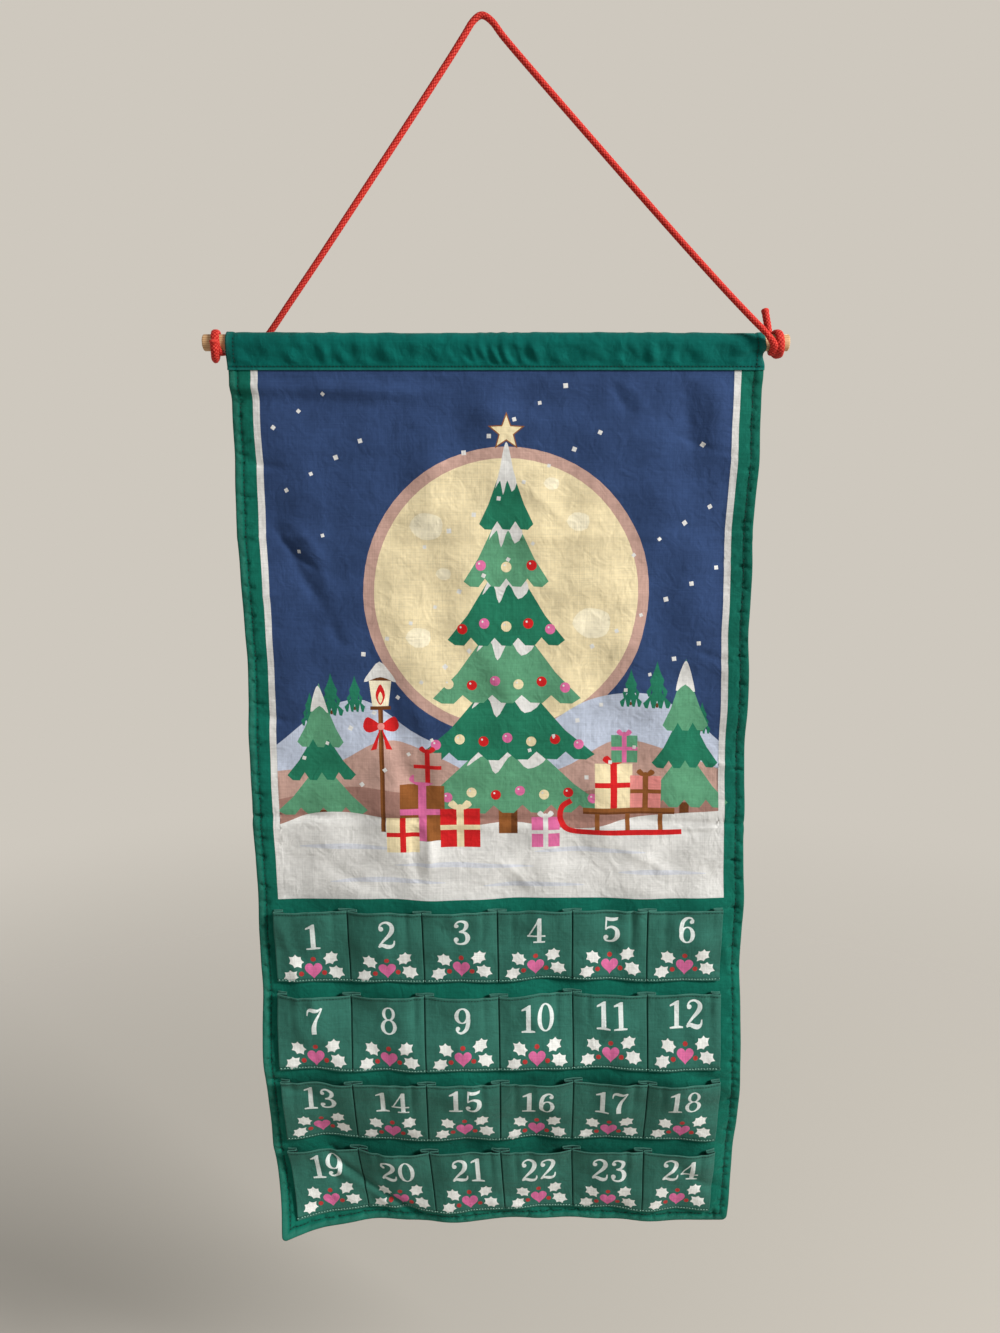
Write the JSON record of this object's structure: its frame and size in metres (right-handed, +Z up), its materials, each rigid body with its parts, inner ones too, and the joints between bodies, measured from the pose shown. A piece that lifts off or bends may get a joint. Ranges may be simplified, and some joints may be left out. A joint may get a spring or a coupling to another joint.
{
  "type": "fabric advent calendar",
  "caption": "Hanging cloth banner with rows of open-topped pockets, slid on a round dowel by a sewn sleeve and hung by a cord tied to both dowel ends.",
  "frame": {"origin": "the hang point, at the top of the cord's loop", "axes": "+Z up, the pockets face -Y, and the dowel runs along X"},
  "size_m": [0.457, 0.0561, 1.0015],
  "materials": {
    "dowel_wood": "bare sanded softwood",
    "red_cord": "braided, slight sheen",
    "sleeve_cotton": "plain woven cotton",
    "printed_cotton": "printed woven cotton",
    "backing_cotton": "plain woven cotton",
    "pocket_cotton": "printed woven cotton"
  },
  "bodies": {
    "hanger": {"hanging_cord": "red_cord", "left_hitch": "red_cord", "right_hitch": "red_cord"},
    "rod": {"dowel": "dowel_wood"},
    "banner": {"rod_sleeve": "sleeve_cotton", "front_panel": "printed_cotton", "backing_panel": "backing_cotton", "pocket_strip_1_left": "pocket_cotton", "pocket_strip_1_right": "pocket_cotton", "pocket_strip_2_left": "pocket_cotton", "pocket_strip_2_right": "pocket_cotton", "pocket_strip_3_left": "pocket_cotton", "pocket_strip_3_right": "pocket_cotton", "pocket_strip_4_left": "pocket_cotton", "pocket_strip_4_right": "pocket_cotton"}
  },
  "joints": [
    {"name": "banner_swing", "type": "hinge", "parent": "hanger", "child": "rod", "pos_m": [0.0103, 0, -0.2346], "axis": [1, 0, 0], "range_deg": [-75, 35]},
    {"name": "sleeve_slide", "type": "slide", "parent": "rod", "child": "banner", "axis": [1, 0, 0], "range_m": [-0.0015, 0.0015]}
  ]
}
